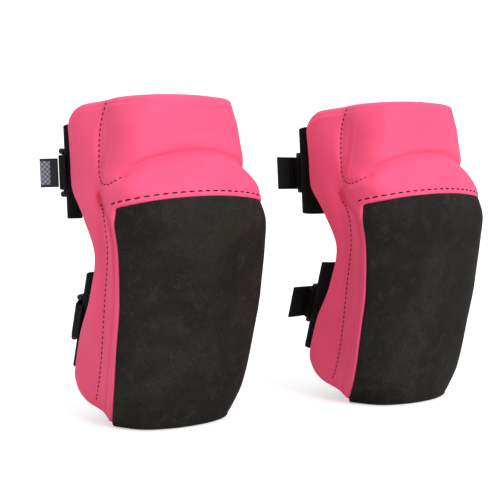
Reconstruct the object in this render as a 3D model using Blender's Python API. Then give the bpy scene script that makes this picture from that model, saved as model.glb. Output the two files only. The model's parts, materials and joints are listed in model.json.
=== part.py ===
"""Pair of work knee pads, standing on their bottom edges.

Each pad is a U-shaped padded shell. A fabric cover, two foams, a knee cushion
and a lining lie over one another along straight lines from the outer skin to
the leg side. A leather wear panel lies over the knee and wraps under the
bottom edge. Two straps close round the back of the leg: each swings on the
adjuster bar at the outer side, and its plug runs along the webbing into the
socket at the inner side. Metres, +Z up, knees facing -Y.
"""
from math import cos, radians, sin

import bmesh
import bpy
import numpy as np
from mathutils import Matrix, Vector

MM = 0.001

# The pair: both pads face -Y, and the right one stands a little further forward.
PAD_PLACES = {"left": (-0.1155, 0.02875), "right": (0.1205, -0.02725)}
PAD_SIDES = {"left": 1.0, "right": -1.0}  # the right pad's straps are mirrored

# Shell, in millimetres. Each row is one height of the half section:
# z, front y, half width, side y, step in, step y, wing x, wing edge y.
STATIONS = np.array([
    (0, -48, 58, 0, 3, 15, 54, 47),
    (30, -52, 70, -21, 3.5, 4, 68, 46),
    (75, -55, 75, -34, 4.5, -7, 70, 34),
    (115, -61, 77, -42, 5.5, -13, 73, 11),
    (150, -69, 79, -44, 6.5, -18, 74, 1),
    (185, -76, 81, -41, 7, -14, 75, 18),
    (212, -70, 77, -37, 5, -6, 74, 38),
    (240, -54, 73, -18, 2.5, -4, 73, 42),
    (290, -51, 58, -15, 0.5, 5, 72, 51),
], float)
HEIGHT = 290.0
TOP_DROP = (10.5, 16.0)  # along the wing, and at its rounded corner
BOTTOM_RISE = (24.0, 20.0)
PANEL_TOP = (202.0, 9.5)  # height at the middle, and fall to the block's side
CREASE = (240.0, 24.0)
BLOCK_SIDE = 3.0  # the half section's parameter at the block's side
WING_EDGE = 6.0
WALL = 30.0  # padding over the knee
COVER = 2.0
LINING = 2.0
PANEL = 3.2
PANEL_EDGE = 2.85
PANEL_PROUD = 0.8
STEP_ROW = 3.0
GAP = 0.3
EDGE_GAP = 1.8  # the layers are cut a little smaller than the cover's pocket
FIRM_SHARE = 0.55
CUSHION_HALF = 3.0
COLUMNS = (0, 1.1, 2.1, PANEL_EDGE, 3.12, 4, 5, 5.6, WING_EDGE)
KNEE_ROWS = (0, 0.06, 0.22, 0.4, 0.58, 0.76, 0.92, 1)
FOLD_ROWS = (0, 0.5, 1)
THIGH_ROWS = (0.35, 0.75, 1)
CUSHION_COLUMN = 1.2
CUSHION_ROWS = (3, 5)

# Straps, in millimetres, each in its own leaning frame: x from the adjuster
# side to the clip side, y outwards from the band's back, z along the width.
STRAPS = {
    "upper": {"place": (0, 61, 223), "lean": -4.0, "tab_x": 69.0, "seat_x": 54.8,
              "tail": 85.0, "half": 42.0},
    "lower": {"place": (0, 50, 91), "lean": 16.0, "tab_x": 62.0, "seat_x": 53.8,
              "tail": 77.0, "half": 45.0},
}
for shape in STRAPS.values():
    corner = shape["tab_x"]
    shape["bar"] = (13.0 - corner, 6.2)  # the strap swings round this bar
    shape["anchor_bar"] = (5.0 - corner, 3.2)
    shape["socket"] = (corner - 39.0, corner - 14.5, corner - 6.0)  # mouth, box end, frame end
    shape["plug_front"] = corner - 62.5
    shape["band"] = (21.0 - corner, corner - 43.0)
BAND_THICK = 3.4
TAB_DEPTH = 30.0
TAB_FLARE = (-18.5, -9.5)  # behind the wing's edge the tab turns outwards
TAB_CORNER = 6.0
WEB_HALF = 16.0
WEB_THICK = 1.6
WEB_Y = 10.5
LOOP_GAP = 0.5
BAR_RADIUS = 1.35
RAIL_Z = 19.4
RAIL_RADIUS = 2.7
RAIL_LENGTH = 15.0
CLIP_Y = (0.6, 9.2)
CLIP_HALF = 21.0
CLIP_WALL = 1.7
SOCKET_BAR = 2.6
PLUG_LENGTH = 12.0
PLUG_TOP = 13.0
ARM_SEAT = 3.0
ARM_REACH = 22.0
ARM_PIVOT_Z = 12.5
LABEL_HALF = 13.0
LABEL_THICK = 1.0

parts = bpy.data.collections.new("knee_pads")
cutters = bpy.data.collections.new("cutters")


def clear_scene():
    for item in list(bpy.data.objects):
        bpy.data.objects.remove(item, do_unlink=True)


def material(name, colour, roughness, metallic=0.0):
    made = bpy.data.materials.new(name)
    made.use_nodes = True
    shader = made.node_tree.nodes["Principled BSDF"]
    shader.inputs["Base Color"].default_value = (*colour, 1.0)
    shader.inputs["Roughness"].default_value = roughness
    shader.inputs["Metallic"].default_value = metallic
    return made


LOOKS = {
    "cover": ((0.78, 0.075, 0.16), 0.62),
    "leather": ((0.022, 0.019, 0.014), 0.85),
    "firm_foam": ((0.16, 0.16, 0.17), 0.9),
    "soft_foam": ((0.75, 0.73, 0.66), 0.9),
    "gel": ((0.10, 0.16, 0.30), 0.3),
    "lining": ((0.03, 0.03, 0.03), 0.9),
    "band": ((0.014, 0.015, 0.014), 0.9),
    "webbing": ((0.008, 0.008, 0.008), 0.75),
    "plastic": ((0.012, 0.014, 0.013), 0.4),
    "label": ((0.20, 0.24, 0.50), 0.8),
}


def add_part(name, mesh, look, parent=None):
    """One named node, with a material of its own."""
    item = bpy.data.objects.new(name, mesh)
    item.data.materials.clear()
    item.data.materials.append(material(name, *LOOKS[look]))
    parts.objects.link(item)
    item.parent = parent
    return item


def add_empty(name, place, parent=None, lean=0.0):
    item = bpy.data.objects.new(name, None)
    item.location = place
    item.rotation_euler = (radians(lean), 0, 0)
    parts.objects.link(item)
    item.parent = parent
    return item


# ---------------------------------------------------------------- the shell

def monotone(knots, values, at):
    """Smooth curve through the knots without overshoot."""
    step = np.diff(knots)
    slope = np.diff(values) / step
    tangent = np.zeros(len(knots))
    tangent[0], tangent[-1] = slope[0], slope[-1]
    for i in range(1, len(knots) - 1):
        if slope[i - 1] * slope[i] > 0:
            tangent[i] = 2.0 / (1.0 / slope[i - 1] + 1.0 / slope[i])
    i = int(np.clip(np.searchsorted(knots, at) - 1, 0, len(step) - 1))
    t = (at - knots[i]) / step[i]
    return ((1 + 2 * t) * (1 - t) ** 2 * values[i] + t * (1 - t) ** 2 * step[i] * tangent[i]
            + t * t * (3 - 2 * t) * values[i + 1] + t * t * (t - 1) * step[i] * tangent[i + 1])


def smooth_step(low, high, value):
    t = min(max((value - low) / (high - low), 0.0), 1.0)
    return t * t * (3 - 2 * t)


def spline(points, s):
    """Catmull-Rom curve through the half section's points, mirrored at the middle."""
    points = np.array(points, float)
    first = points[1] * (-1, 1)
    last = 2 * points[-1] - points[-2]
    padded = np.vstack([first, points, last])
    i = min(int(s), len(points) - 2)
    t = s - i
    a, b, c, d = padded[i:i + 4]
    return 0.5 * (2 * b + (c - a) * t + (2 * a - 5 * b + 4 * c - d) * t * t
                  + (3 * b - a - 3 * c + d) * t ** 3)


def station(s, z):
    """The seven section values at one height, with the fold over the knee arched."""
    arch = CREASE[1] * min(s / BLOCK_SIDE, 1.0) ** 2 * (1 - smooth_step(3.4, 4.6, s))
    shifted = z + arch * smooth_step(160, 206, z) * (1 - smooth_step(236, 288, z))
    return [monotone(STATIONS[:, 0], STATIONS[:, k], shifted) for k in range(1, 8)]


def outer_point(s, z):
    front, half, side_y, step_in, step_y, wing_x, edge_y = station(s, z)
    depth = side_y - front
    return spline([
        (0, front),
        (0.42 * half, front + 0.07 * depth),
        (0.80 * half, front + 0.34 * depth),
        (half, side_y),
        (half - step_in, step_y),
        ((half - step_in + wing_x) / 2 + 1.5, (step_y + edge_y) / 2),
        (wing_x, edge_y),
    ], s)


def inner_point(s, z):
    front, half, _, step_in, _, wing_x, edge_y = station(s, z)
    front += WALL
    reach = edge_y - front
    waist = min(half - step_in, wing_x)
    return spline([
        (0, front),
        (0.30 * half, front + 0.04 * reach),
        (0.54 * half, front + 0.15 * reach),
        (0.70 * half, front + 0.36 * reach),
        (waist - 13.5, front + 0.60 * reach),
        ((waist + wing_x) / 2 - 11.5, front + 0.80 * reach),
        (wing_x - 10.5, edge_y),
    ], s)


def base_height(s):
    along = max(s - BLOCK_SIDE, 0) / (WING_EDGE - BLOCK_SIDE)
    corner = max(s - 4.6, 0) / 1.4
    return PANEL + BOTTOM_RISE[0] * along + BOTTOM_RISE[1] * corner ** 3


def top_height(s):
    return HEIGHT - TOP_DROP[0] * (s / WING_EDGE) ** 2 - TOP_DROP[1] * max(s - 5, 0) ** 3


def panel_height(s):
    return PANEL_TOP[0] - PANEL_TOP[1] * min((s / BLOCK_SIDE) ** 2, 1.5)


def crease_height(s):
    return CREASE[0] - CREASE[1] * min((s / BLOCK_SIDE) ** 2, 1.2)


def heights(s):
    """The heights of all grid rows at one place round the section."""
    base, panel, crease, top = base_height(s), panel_height(s), crease_height(s), top_height(s)
    knee = [base + f * (panel - base) for f in KNEE_ROWS]
    step = panel + STEP_ROW
    fold = [step + f * (crease - step) for f in FOLD_ROWS]
    thigh = [crease + f * (top - crease) for f in THIGH_ROWS]
    return knee + fold + thigh


ROW_COUNT = len(KNEE_ROWS) + len(FOLD_ROWS) + len(THIGH_ROWS)
SIGNED_COLUMNS = [-s for s in COLUMNS[:0:-1]] + list(COLUMNS)


def skin_and_leg_side():
    """The grid's points on the outer skin, and the points on the leg side they face."""
    starts = np.zeros((ROW_COUNT, len(SIGNED_COLUMNS), 3))
    ends = np.zeros_like(starts)
    for j, signed in enumerate(SIGNED_COLUMNS):
        mirror = -1 if signed < 0 else 1
        for i, z in enumerate(heights(abs(signed))):
            outer, inner = outer_point(abs(signed), z), inner_point(abs(signed), z)
            starts[i, j] = (mirror * outer[0], outer[1], z)
            ends[i, j] = (mirror * inner[0], inner[1], z)
    return starts, ends


def draw_in(grid, inset):
    """Moves the grid's boundary inwards, along its own facets."""
    grid = grid.copy()
    for turned in (grid, grid.transpose(1, 0, 2)):
        for edge, beside in ((0, 1), (-1, -2)):
            along = turned[beside] - turned[edge]
            turned[edge] += along / np.linalg.norm(along, axis=1, keepdims=True) * inset
    return grid


def rays(inset):
    """Start point, direction and length of every ray from the skin to the leg side."""
    starts, ends = (draw_in(grid, inset) for grid in skin_and_leg_side())
    lengths = np.linalg.norm(ends - starts, axis=2)
    return starts, (ends - starts) / lengths[..., None], lengths


def under_panel(i, j):
    return i < len(KNEE_ROWS) and abs(SIGNED_COLUMNS[j]) <= PANEL_EDGE


def by_cushion(i, j):
    low, high = CUSHION_ROWS
    return low <= i <= high and abs(SIGNED_COLUMNS[j]) <= CUSHION_COLUMN


def skin_depth(i, j):
    """How far the cover's outer face is sunk below the skin to seat the panel."""
    return PANEL - PANEL_PROUD + 0.2 if under_panel(i, j) else 0.0


def grid_at(inset, depth):
    """Points of one layer face; depth is a function of row, column and wall."""
    starts, ways, lengths = rays(inset)
    points = np.zeros_like(starts)
    for i in range(starts.shape[0]):
        for j in range(starts.shape[1]):
            points[i, j] = starts[i, j] + ways[i, j] * depth(i, j, lengths[i, j])
    return points


def ring(shape):
    """Grid indices round the boundary, once round."""
    rows, columns = shape
    path = [(0, j) for j in range(columns)]
    path += [(i, columns - 1) for i in range(1, rows)]
    path += [(rows - 1, j) for j in range(columns - 2, -1, -1)]
    path += [(i, 0) for i in range(rows - 2, 0, -1)]
    return path


class Loft:
    """Collects layered grids of points and the faces between them."""

    def __init__(self):
        self.bm = bmesh.new()

    def add(self, points):
        return [[self.bm.verts.new(Vector(p) * MM) for p in row] for row in points]

    def face(self, grid, flip):
        """Triangles split the same way in every layer, so that the layers stay apart."""
        middle = (len(grid[0]) - 1) // 2
        for i in range(len(grid) - 1):
            for j in range(len(grid[0]) - 1):
                a, b = grid[i][j], grid[i][j + 1]
                c, d = grid[i + 1][j + 1], grid[i + 1][j]
                halves = [(a, b, c), (a, c, d)] if j < middle else [(a, b, d), (b, c, d)]
                for half in halves:
                    self.bm.faces.new(half[::-1] if flip else half)

    def wall(self, first, second):
        path = ring((len(first), len(first[0])))
        for (a, b), (c, d) in zip(path, path[1:] + path[:1]):
            self.bm.faces.new([first[c][d], first[a][b], second[a][b], second[c][d]])

    def mesh(self, name):
        bmesh.ops.recalc_face_normals(self.bm, faces=self.bm.faces)
        mesh = bpy.data.meshes.new(name)
        self.bm.to_mesh(mesh)
        self.bm.free()
        mesh.shade_smooth()
        mesh.set_sharp_from_angle(angle=radians(40))
        return mesh


def slab_mesh(name, outer, inner):
    """A closed sheet between two faces of the same grid."""
    loft = Loft()
    front, back = loft.add(outer), loft.add(inner)
    loft.face(front, False)
    loft.face(back, True)
    loft.wall(front, back)
    return loft.mesh(name)


def cover_mesh(name):
    """A tray: the outer skin with a rim that turns in to the leg side."""
    loft = Loft()
    skin = loft.add(grid_at(0, lambda i, j, wall: skin_depth(i, j)))
    rim = loft.add(grid_at(0, lambda i, j, wall: wall))
    lip = loft.add(grid_at(COVER, lambda i, j, wall: wall))
    floor = loft.add(grid_at(COVER, lambda i, j, wall: skin_depth(i, j) + COVER))
    loft.face(skin, False)
    loft.wall(skin, rim)
    loft.wall(rim, lip)
    loft.wall(lip, floor)
    loft.face(floor, True)
    loose = [v for v in loft.bm.verts if not v.link_faces]
    bmesh.ops.delete(loft.bm, geom=loose, context="VERTS")
    return loft.mesh(name)


def firm_back(i, j, wall):
    return FIRM_SHARE * wall - (CUSHION_HALF if by_cushion(i, j) else 0)


def soft_front(i, j, wall):
    return FIRM_SHARE * wall + GAP + (CUSHION_HALF if by_cushion(i, j) else 0)


def add_shell(side, pad):
    inside = COVER + 2 * GAP
    cut = COVER + EDGE_GAP
    add_part(f"{side}_cover", cover_mesh("cover"), "cover", pad)
    firm = slab_mesh(
        "firm_foam",
        grid_at(cut, lambda i, j, wall: skin_depth(i, j) + inside),
        grid_at(cut, firm_back))
    add_part(f"{side}_firm_foam", firm, "firm_foam", pad)
    soft = slab_mesh(
        "soft_foam",
        grid_at(cut, soft_front),
        grid_at(cut, lambda i, j, wall: wall - LINING - GAP))
    add_part(f"{side}_soft_foam", soft, "soft_foam", pad)
    lining = slab_mesh(
        "lining",
        grid_at(cut, lambda i, j, wall: wall - LINING),
        grid_at(cut, lambda i, j, wall: wall))
    add_part(f"{side}_lining", lining, "lining", pad)
    add_cushion(side, pad)
    add_panel(side, pad)


def add_cushion(side, pad):
    """The sealed cushion between the foams, over the kneecap."""
    rows = slice(CUSHION_ROWS[0], CUSHION_ROWS[1] + 1)
    inside = [j for j, s in enumerate(SIGNED_COLUMNS) if abs(s) <= CUSHION_COLUMN]
    columns = slice(inside[0], inside[-1] + 1)
    front = grid_at(0, lambda i, j, wall: FIRM_SHARE * wall - CUSHION_HALF + GAP)
    back = grid_at(0, lambda i, j, wall: FIRM_SHARE * wall + CUSHION_HALF)
    mesh = slab_mesh("knee_cushion", front[rows, columns], back[rows, columns])
    add_part(f"{side}_knee_cushion", mesh, "gel", pad)


def add_panel(side, pad):
    """The wear panel: a sheet over the knee block with a flange under its bottom edge."""
    rows = len(KNEE_ROWS)
    inside = [j for j, s in enumerate(SIGNED_COLUMNS) if abs(s) <= PANEL_EDGE]
    columns = slice(inside[0], inside[-1] + 1)
    front = grid_at(0, lambda i, j, wall: -PANEL_PROUD)[:rows, columns]
    back = grid_at(0, lambda i, j, wall: skin_depth(i, j) - GAP)[:rows, columns]
    heel = grid_at(0, lambda i, j, wall: wall)[0, columns]
    under = heel.copy()
    under[:, 2] = 0.0
    front[0, :, 2] = 0.0
    heel[:, 2] = PANEL - GAP
    back[0, :, 2] = PANEL - GAP
    mesh = slab_mesh("front_panel", [under, *front], [heel, *back])
    add_part(f"{side}_front_panel", mesh, "leather", pad)


# ------------------------------------------------------------- strap shapes

def finish_mesh(bm, mesh):
    """Welds, turns the faces outwards and shades a mesh."""
    bmesh.ops.remove_doubles(bm, verts=bm.verts, dist=0.00001)
    bmesh.ops.recalc_face_normals(bm, faces=bm.faces)
    bm.to_mesh(mesh)
    bm.free()
    mesh.shade_smooth()
    mesh.set_sharp_from_angle(angle=radians(35))
    return mesh


def evaluated_mesh(holder):
    """The finished mesh of a helper object, which is then removed."""
    bpy.context.view_layer.update()
    graph = bpy.context.evaluated_depsgraph_get()
    mesh = bpy.data.meshes.new_from_object(holder.evaluated_get(graph))
    bpy.data.objects.remove(holder, do_unlink=True)
    return mesh


def outline_mesh(name, outline, half_depth):
    """A flat outline in the XY plane, thickened both ways along Z."""
    curve = bpy.data.curves.new(name, "CURVE")
    curve.dimensions = "2D"
    curve.fill_mode = "BOTH"
    line = curve.splines.new("POLY")
    line.points.add(len(outline) - 1)
    line.use_cyclic_u = True
    for point, (x, y) in zip(line.points, outline):
        point.co = (x * MM, y * MM, 0, 1)
    curve.extrude = half_depth * MM
    holder = bpy.data.objects.new(name, curve)
    parts.objects.link(holder)
    mesh = evaluated_mesh(holder)
    bm = bmesh.new()
    bm.from_mesh(mesh)
    return finish_mesh(bm, mesh)


def ribbon_mesh(name, path, half_width, thickness):
    """A flat strip of cloth standing on edge, along a path seen from above."""
    path = [Vector(p) for p in path]
    left, right = [], []
    for k, point in enumerate(path):
        before = (point - path[max(k - 1, 0)]).normalized()
        after = (path[min(k + 1, len(path) - 1)] - point).normalized()
        along = (before + after).normalized()
        across = Vector((-along.y, along.x)) * thickness / 2
        reach = 1 / max(along.dot(after if k == 0 else before), 0.5)
        left.append(point + across * reach)
        right.append(point - across * reach)
    return outline_mesh(name, [tuple(p) for p in left + right[::-1]], half_width)


def arc(centre, radius, start, end, count):
    """Points on an arc, from start to end in degrees."""
    turns = np.radians(np.linspace(start, end, count))
    return [(centre[0] + radius * cos(t), centre[1] + radius * sin(t)) for t in turns]


def box_mesh(low, high, bevel=0.0):
    """A box in millimetres with one chamfer on each edge."""
    bm = bmesh.new()
    bmesh.ops.create_cube(bm, size=1.0)
    bmesh.ops.scale(bm, vec=(Vector(high) - Vector(low)) * MM, verts=bm.verts)
    bmesh.ops.translate(bm, vec=(Vector(high) + Vector(low)) / 2 * MM, verts=bm.verts)
    if bevel:
        bmesh.ops.bevel(bm, geom=bm.edges[:], offset=bevel * MM, segments=1, affect="EDGES")
    mesh = bpy.data.meshes.new("box")
    bm.to_mesh(mesh)
    bm.free()
    return mesh


def rod_mesh(start, end, radius, sides):
    """A round rod between two points in millimetres."""
    start, end = Vector(start), Vector(end)
    along = end - start
    bm = bmesh.new()
    bmesh.ops.create_cone(bm, cap_ends=True, segments=sides, radius1=radius * MM,
                          radius2=radius * MM, depth=along.length * MM)
    turn = along.to_track_quat("Z", "Y").to_matrix().to_4x4()
    bm.transform(Matrix.Translation((start + end) / 2 * MM) @ turn)
    mesh = bpy.data.meshes.new("rod")
    bm.to_mesh(mesh)
    bm.free()
    return mesh


def combine(name, base, others, operation):
    """A mesh united with, or cut by, other meshes in the same frame."""
    holder = bpy.data.objects.new(name, base)
    parts.objects.link(holder)
    helpers = []
    for k, mesh in enumerate(others):
        helper = bpy.data.objects.new(f"{name}_{operation.lower()}_{k}", mesh)
        helper.hide_render = True
        helper.display_type = "WIRE"
        cutters.objects.link(helper)
        helpers.append(helper)
        step = holder.modifiers.new(f"step_{k}", "BOOLEAN")
        step.operation = operation
        step.object = helper
        step.solver = "EXACT"
    mesh = evaluated_mesh(holder)
    for item in helpers:
        bpy.data.objects.remove(item, do_unlink=True)
    bm = bmesh.new()
    bm.from_mesh(mesh)
    return finish_mesh(bm, mesh)


# ---------------------------------------------------------------- the strap

def tab_mesh(strap, end, sign):
    """Wide band sewn inside one wing, flared behind it and turned round the back corner."""
    side_x = strap["tab_x"] - BAND_THICK / 2
    back_y = -BAND_THICK / 2
    middle = (side_x - TAB_CORNER, back_y - TAB_CORNER)
    path = [(strap["seat_x"], -TAB_DEPTH), (strap["seat_x"], TAB_FLARE[0]),
            (side_x, TAB_FLARE[1])]
    path += arc(middle, TAB_CORNER, 0, 90, 4)
    path += [(abs(end), back_y)]
    return ribbon_mesh("band_tab", [(sign * x, y) for x, y in path], strap["half"], BAND_THICK)


def band_mesh(strap):
    """The wide band across the back, between the two tabs."""
    start, end = strap["band"]
    path = [(start, -BAND_THICK / 2), (end, -BAND_THICK / 2)]
    return ribbon_mesh("band", path, strap["half"], BAND_THICK)


def webbing_mesh(strap):
    """Webbing looped round the strap bar, then straight over the clip to a free tail."""
    bar_x, bar_y = strap["bar"]
    radius = BAR_RADIUS + LOOP_GAP + WEB_THICK / 2
    path = [(bar_x + 12, bar_y + 1.0), (bar_x + 6.5, bar_y - 1.2)]
    path += arc((bar_x, bar_y), radius, 285, 100, 9)
    path += [(bar_x + 7, WEB_Y - 1.1), (bar_x + 18, WEB_Y - 0.4), (bar_x + 28, WEB_Y)]
    path += [(strap["tail"], WEB_Y)]
    return ribbon_mesh("webbing", path, WEB_HALF, WEB_THICK)


def adjuster_mesh(strap):
    """Two round side rails joined by the strap bar and the anchor bar."""
    bar, anchor = Vector((*strap["bar"], 0)), Vector((*strap["anchor_bar"], 0))
    half = (bar - anchor).normalized() * RAIL_LENGTH / 2
    rails = []
    for z in (-RAIL_Z, RAIL_Z):
        centre = (bar + anchor) / 2 + Vector((0, 0, z))
        rails.append(rod_mesh(centre - half, centre + half, RAIL_RADIUS, 10))
    reach = Vector((0, 0, RAIL_Z))
    bars = [rod_mesh(place - reach, place + reach, BAR_RADIUS, 8) for place in (bar, anchor)]
    return combine("adjuster", rails[0], [*bars, rails[1]], "UNION")


def adjuster_anchor_mesh(strap):
    """Short loop from the anchor bar to the outer face of the tab."""
    bar_x, bar_y = strap["anchor_bar"]
    radius = BAR_RADIUS + LOOP_GAP + WEB_THICK / 2
    face_x = -strap["tab_x"] - GAP - WEB_THICK / 2
    path = arc((bar_x, bar_y), radius, -40, 180, 9)
    path += [(face_x - 1.6, bar_y - 4.6), (face_x, bar_y - 10),
             (face_x, TAB_FLARE[1] - 0.6)]
    return ribbon_mesh("adjuster_anchor", path, WEB_HALF - 0.5, WEB_THICK)


def socket_mesh(strap):
    """Flat box with a mouth towards the plug, side windows and a bar for its loop."""
    mouth, back, end = strap["socket"]
    low, high = CLIP_Y
    inner_low, inner_high = low + CLIP_WALL, high - CLIP_WALL
    body = box_mesh((mouth, low, -CLIP_HALF), (back, high, CLIP_HALF), 1.2)
    frame = box_mesh((back - 1.5, low + 2, -CLIP_HALF + 1), (end, high - 2, CLIP_HALF - 1), 0.8)
    body = combine("clip_socket", body, [frame], "UNION")
    side = CLIP_HALF - 3.2
    cavity = box_mesh((mouth - 2, inner_low, -side), (back - CLIP_WALL, inner_high, side))
    window = box_mesh((mouth + 8, inner_low, -CLIP_HALF - 2), (back - 5, inner_high, CLIP_HALF + 2))
    slot = box_mesh((back + 1.3, low, -WEB_HALF - 0.6), (end - SOCKET_BAR, high, WEB_HALF + 0.6))
    return combine("clip_socket", body, [cavity, window, slot], "DIFFERENCE")


def clip_anchor_mesh(strap):
    """Loop of webbing round the socket's bar, sewn down on the tab at both ends."""
    end = strap["socket"][2]
    low, high = CLIP_Y[0] + 2, CLIP_Y[1] - 2
    room = LOOP_GAP + WEB_THICK / 2
    near, far = end - SOCKET_BAR - room, end + room
    foot = GAP + WEB_THICK / 2
    path = [(near - 3, foot), (near - 1, foot), (near, foot + 1.1), (near, high)]
    path += [(near + 1, high + room), (far - 1, high + room), (far, high), (far, low)]
    path += [(far + 1.2, foot - 0.4)]
    return ribbon_mesh("clip_anchor", path, WEB_HALF - 0.5, WEB_THICK)


def plug_mesh(strap):
    """Plug base with a keeper for the webbing, and a guide between the arms."""
    front = strap["plug_front"]
    back, half = front - PLUG_LENGTH, CLIP_HALF - 1.0
    low, high = CLIP_Y[0] + 0.4, CLIP_Y[1] - 0.4
    body = box_mesh((back, low, -half), (front, PLUG_TOP, half), 1.2)
    guide = box_mesh((front - 3, low + 2.2, -4.0), (front + ARM_REACH - 3, high - 2.2, 4.0), 0.6)
    body = combine("clip_plug", body, [guide], "UNION")
    web = WEB_THICK / 2 + 0.35
    tunnel = box_mesh((back - 2, WEB_Y - web, -WEB_HALF - 0.5),
                      (front + 2, WEB_Y + web, WEB_HALF + 0.5))
    notches = []
    for z0, z1 in ((9.0, 17.0), (-17.0, -9.0)):
        notches.append(box_mesh((front - 3.8, low - 1, z0), (front + 1, high - 0.8, z1)))
    return combine("clip_plug", body, [tunnel, *notches], "DIFFERENCE")


def arm_mesh(strap, way):
    """Sprung arm: a knuckle at the plug, a slim blade and a wider head."""
    low, high = CLIP_Y[0] + CLIP_WALL + 0.5, CLIP_Y[1] - CLIP_WALL - 0.5
    root, tip = strap["plug_front"] - ARM_SEAT, strap["plug_front"] + ARM_REACH
    outline = [(root, 10.0), (root + 7, 11.4), (tip - 9, 12.4), (tip - 2, 12.0), (tip, 13.4),
               (tip - 3, 16.2), (tip - 8, 17.0), (tip - 11, 15.4), (root + 7, 14.6), (root, 15.0)]
    mesh = outline_mesh("clip_arm", outline, (high - low) / 2)
    mesh.transform(Matrix.Rotation(radians(90), 4, "X"))
    mesh.transform(Matrix.Translation((0, (low + high) / 2 * MM, 0)))
    if way < 0:
        mesh.transform(Matrix.Scale(-1, 4, (0, 0, 1)))
        mesh.flip_normals()
    return mesh


def label_mesh(strap):
    """Folded woven tab that stands out beside the adjuster."""
    bar_x, bar_y = strap["anchor_bar"]
    path = [(bar_x - 6.6, bar_y - 1.0), (bar_x - 14, bar_y + 1.8), (bar_x - 22, bar_y + 4.8)]
    return ribbon_mesh("label", path, LABEL_HALF, LABEL_THICK)


def place_mesh(mesh, origin, side):
    """Moves a mesh so that its origin lies at a point, and mirrors it for the right pad."""
    mesh.transform(Matrix.Translation(Vector((*origin, 0)) * -MM))
    if PAD_SIDES[side] < 0:
        mesh.transform(Matrix.Scale(-1, 4, (1, 0, 0)))
        mesh.flip_normals()
    return mesh


def add_strap(side, pad, level):
    strap = STRAPS[level]
    name = f"{side}_{level}"
    mirror = PAD_SIDES[side]
    frame = add_empty(f"{name}_frame", Vector(strap["place"]) * MM, pad, strap["lean"])
    fixed = {
        "band_outer_tab": (tab_mesh(strap, strap["band"][0] - 2, -1), "band"),
        "band_inner_tab": (tab_mesh(strap, strap["band"][1] + 2, 1), "band"),
        "adjuster": (adjuster_mesh(strap), "plastic"),
        "adjuster_anchor": (adjuster_anchor_mesh(strap), "webbing"),
        "clip_socket": (socket_mesh(strap), "plastic"),
        "clip_anchor": (clip_anchor_mesh(strap), "webbing"),
    }
    for piece, (mesh, look) in fixed.items():
        add_part(f"{name}_{piece}", place_mesh(mesh, (0, 0), side), look, frame)
    bar = strap["bar"]
    swing = add_empty(f"{name}_swing", (mirror * bar[0] * MM, bar[1] * MM, 0), frame)
    moving = {
        "band": (band_mesh(strap), "band"),
        "webbing": (webbing_mesh(strap), "webbing"),
        "clip_plug": (plug_mesh(strap), "plastic"),
    }
    for piece, (mesh, look) in moving.items():
        add_part(f"{name}_{piece}", place_mesh(mesh, bar, side), look, swing)
    root = strap["plug_front"] - ARM_SEAT + 1.2
    for end, way in (("top", 1), ("bottom", -1)):
        place = (mirror * (root - bar[0]) * MM, -bar[1] * MM, 0)
        pivot = add_empty(f"{name}_arm_{end}_pivot", place, swing)
        mesh = place_mesh(arm_mesh(strap, way), (root, 0), side)
        mesh.transform(Matrix.Translation((0, 0, -way * ARM_PIVOT_Z * MM)))
        arm = add_part(f"{name}_clip_arm_{end}", mesh, "plastic", pivot)
        arm.location = (0, 0, way * ARM_PIVOT_Z * MM)
    if side == "left" and level == "upper":
        add_part(f"{side}_label", place_mesh(label_mesh(strap), (0, 0), side), "label", frame)


def main():
    clear_scene()
    for collection in (parts, cutters):
        bpy.context.scene.collection.children.link(collection)
    for side, (x, y) in PAD_PLACES.items():
        pad = add_empty(f"{side}_pad", (x, y, 0))
        add_shell(side, pad)
        for level in STRAPS:
            add_strap(side, pad, level)


main()
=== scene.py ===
"""Looks for the pair of knee pads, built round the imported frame.

The shell's surfaces follow the same section rows as the CAD part, on a finer
grid, with sewn channels, welts and a padded swelling laid over them. Metres in
the row frame; the shell and the straps are worked out in millimetres.
"""
import json
from math import cos, pi, radians, sin

import bmesh
import bpy
import numpy as np
from mathutils import Matrix, Vector, noise


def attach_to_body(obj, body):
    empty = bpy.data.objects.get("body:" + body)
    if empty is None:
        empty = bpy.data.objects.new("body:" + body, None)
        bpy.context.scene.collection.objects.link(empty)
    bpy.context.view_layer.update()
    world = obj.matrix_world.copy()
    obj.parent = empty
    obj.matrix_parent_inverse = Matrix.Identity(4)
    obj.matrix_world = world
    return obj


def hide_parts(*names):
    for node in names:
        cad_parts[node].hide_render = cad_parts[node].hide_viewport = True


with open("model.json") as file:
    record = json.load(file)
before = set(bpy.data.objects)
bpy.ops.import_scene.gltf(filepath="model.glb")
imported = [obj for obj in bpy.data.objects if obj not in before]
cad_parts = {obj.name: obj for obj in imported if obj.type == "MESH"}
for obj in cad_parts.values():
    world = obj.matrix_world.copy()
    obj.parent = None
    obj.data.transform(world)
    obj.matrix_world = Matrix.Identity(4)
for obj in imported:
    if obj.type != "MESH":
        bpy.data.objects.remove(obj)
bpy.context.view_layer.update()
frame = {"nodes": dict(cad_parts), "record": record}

record = frame["record"]
MM = 0.001
SIDES = {"left": 1.0, "right": -1.0}  # the right pad's straps are mirrored
LEVELS = ("upper", "lower")

# ------------------------------------------------------------ section rows

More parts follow.
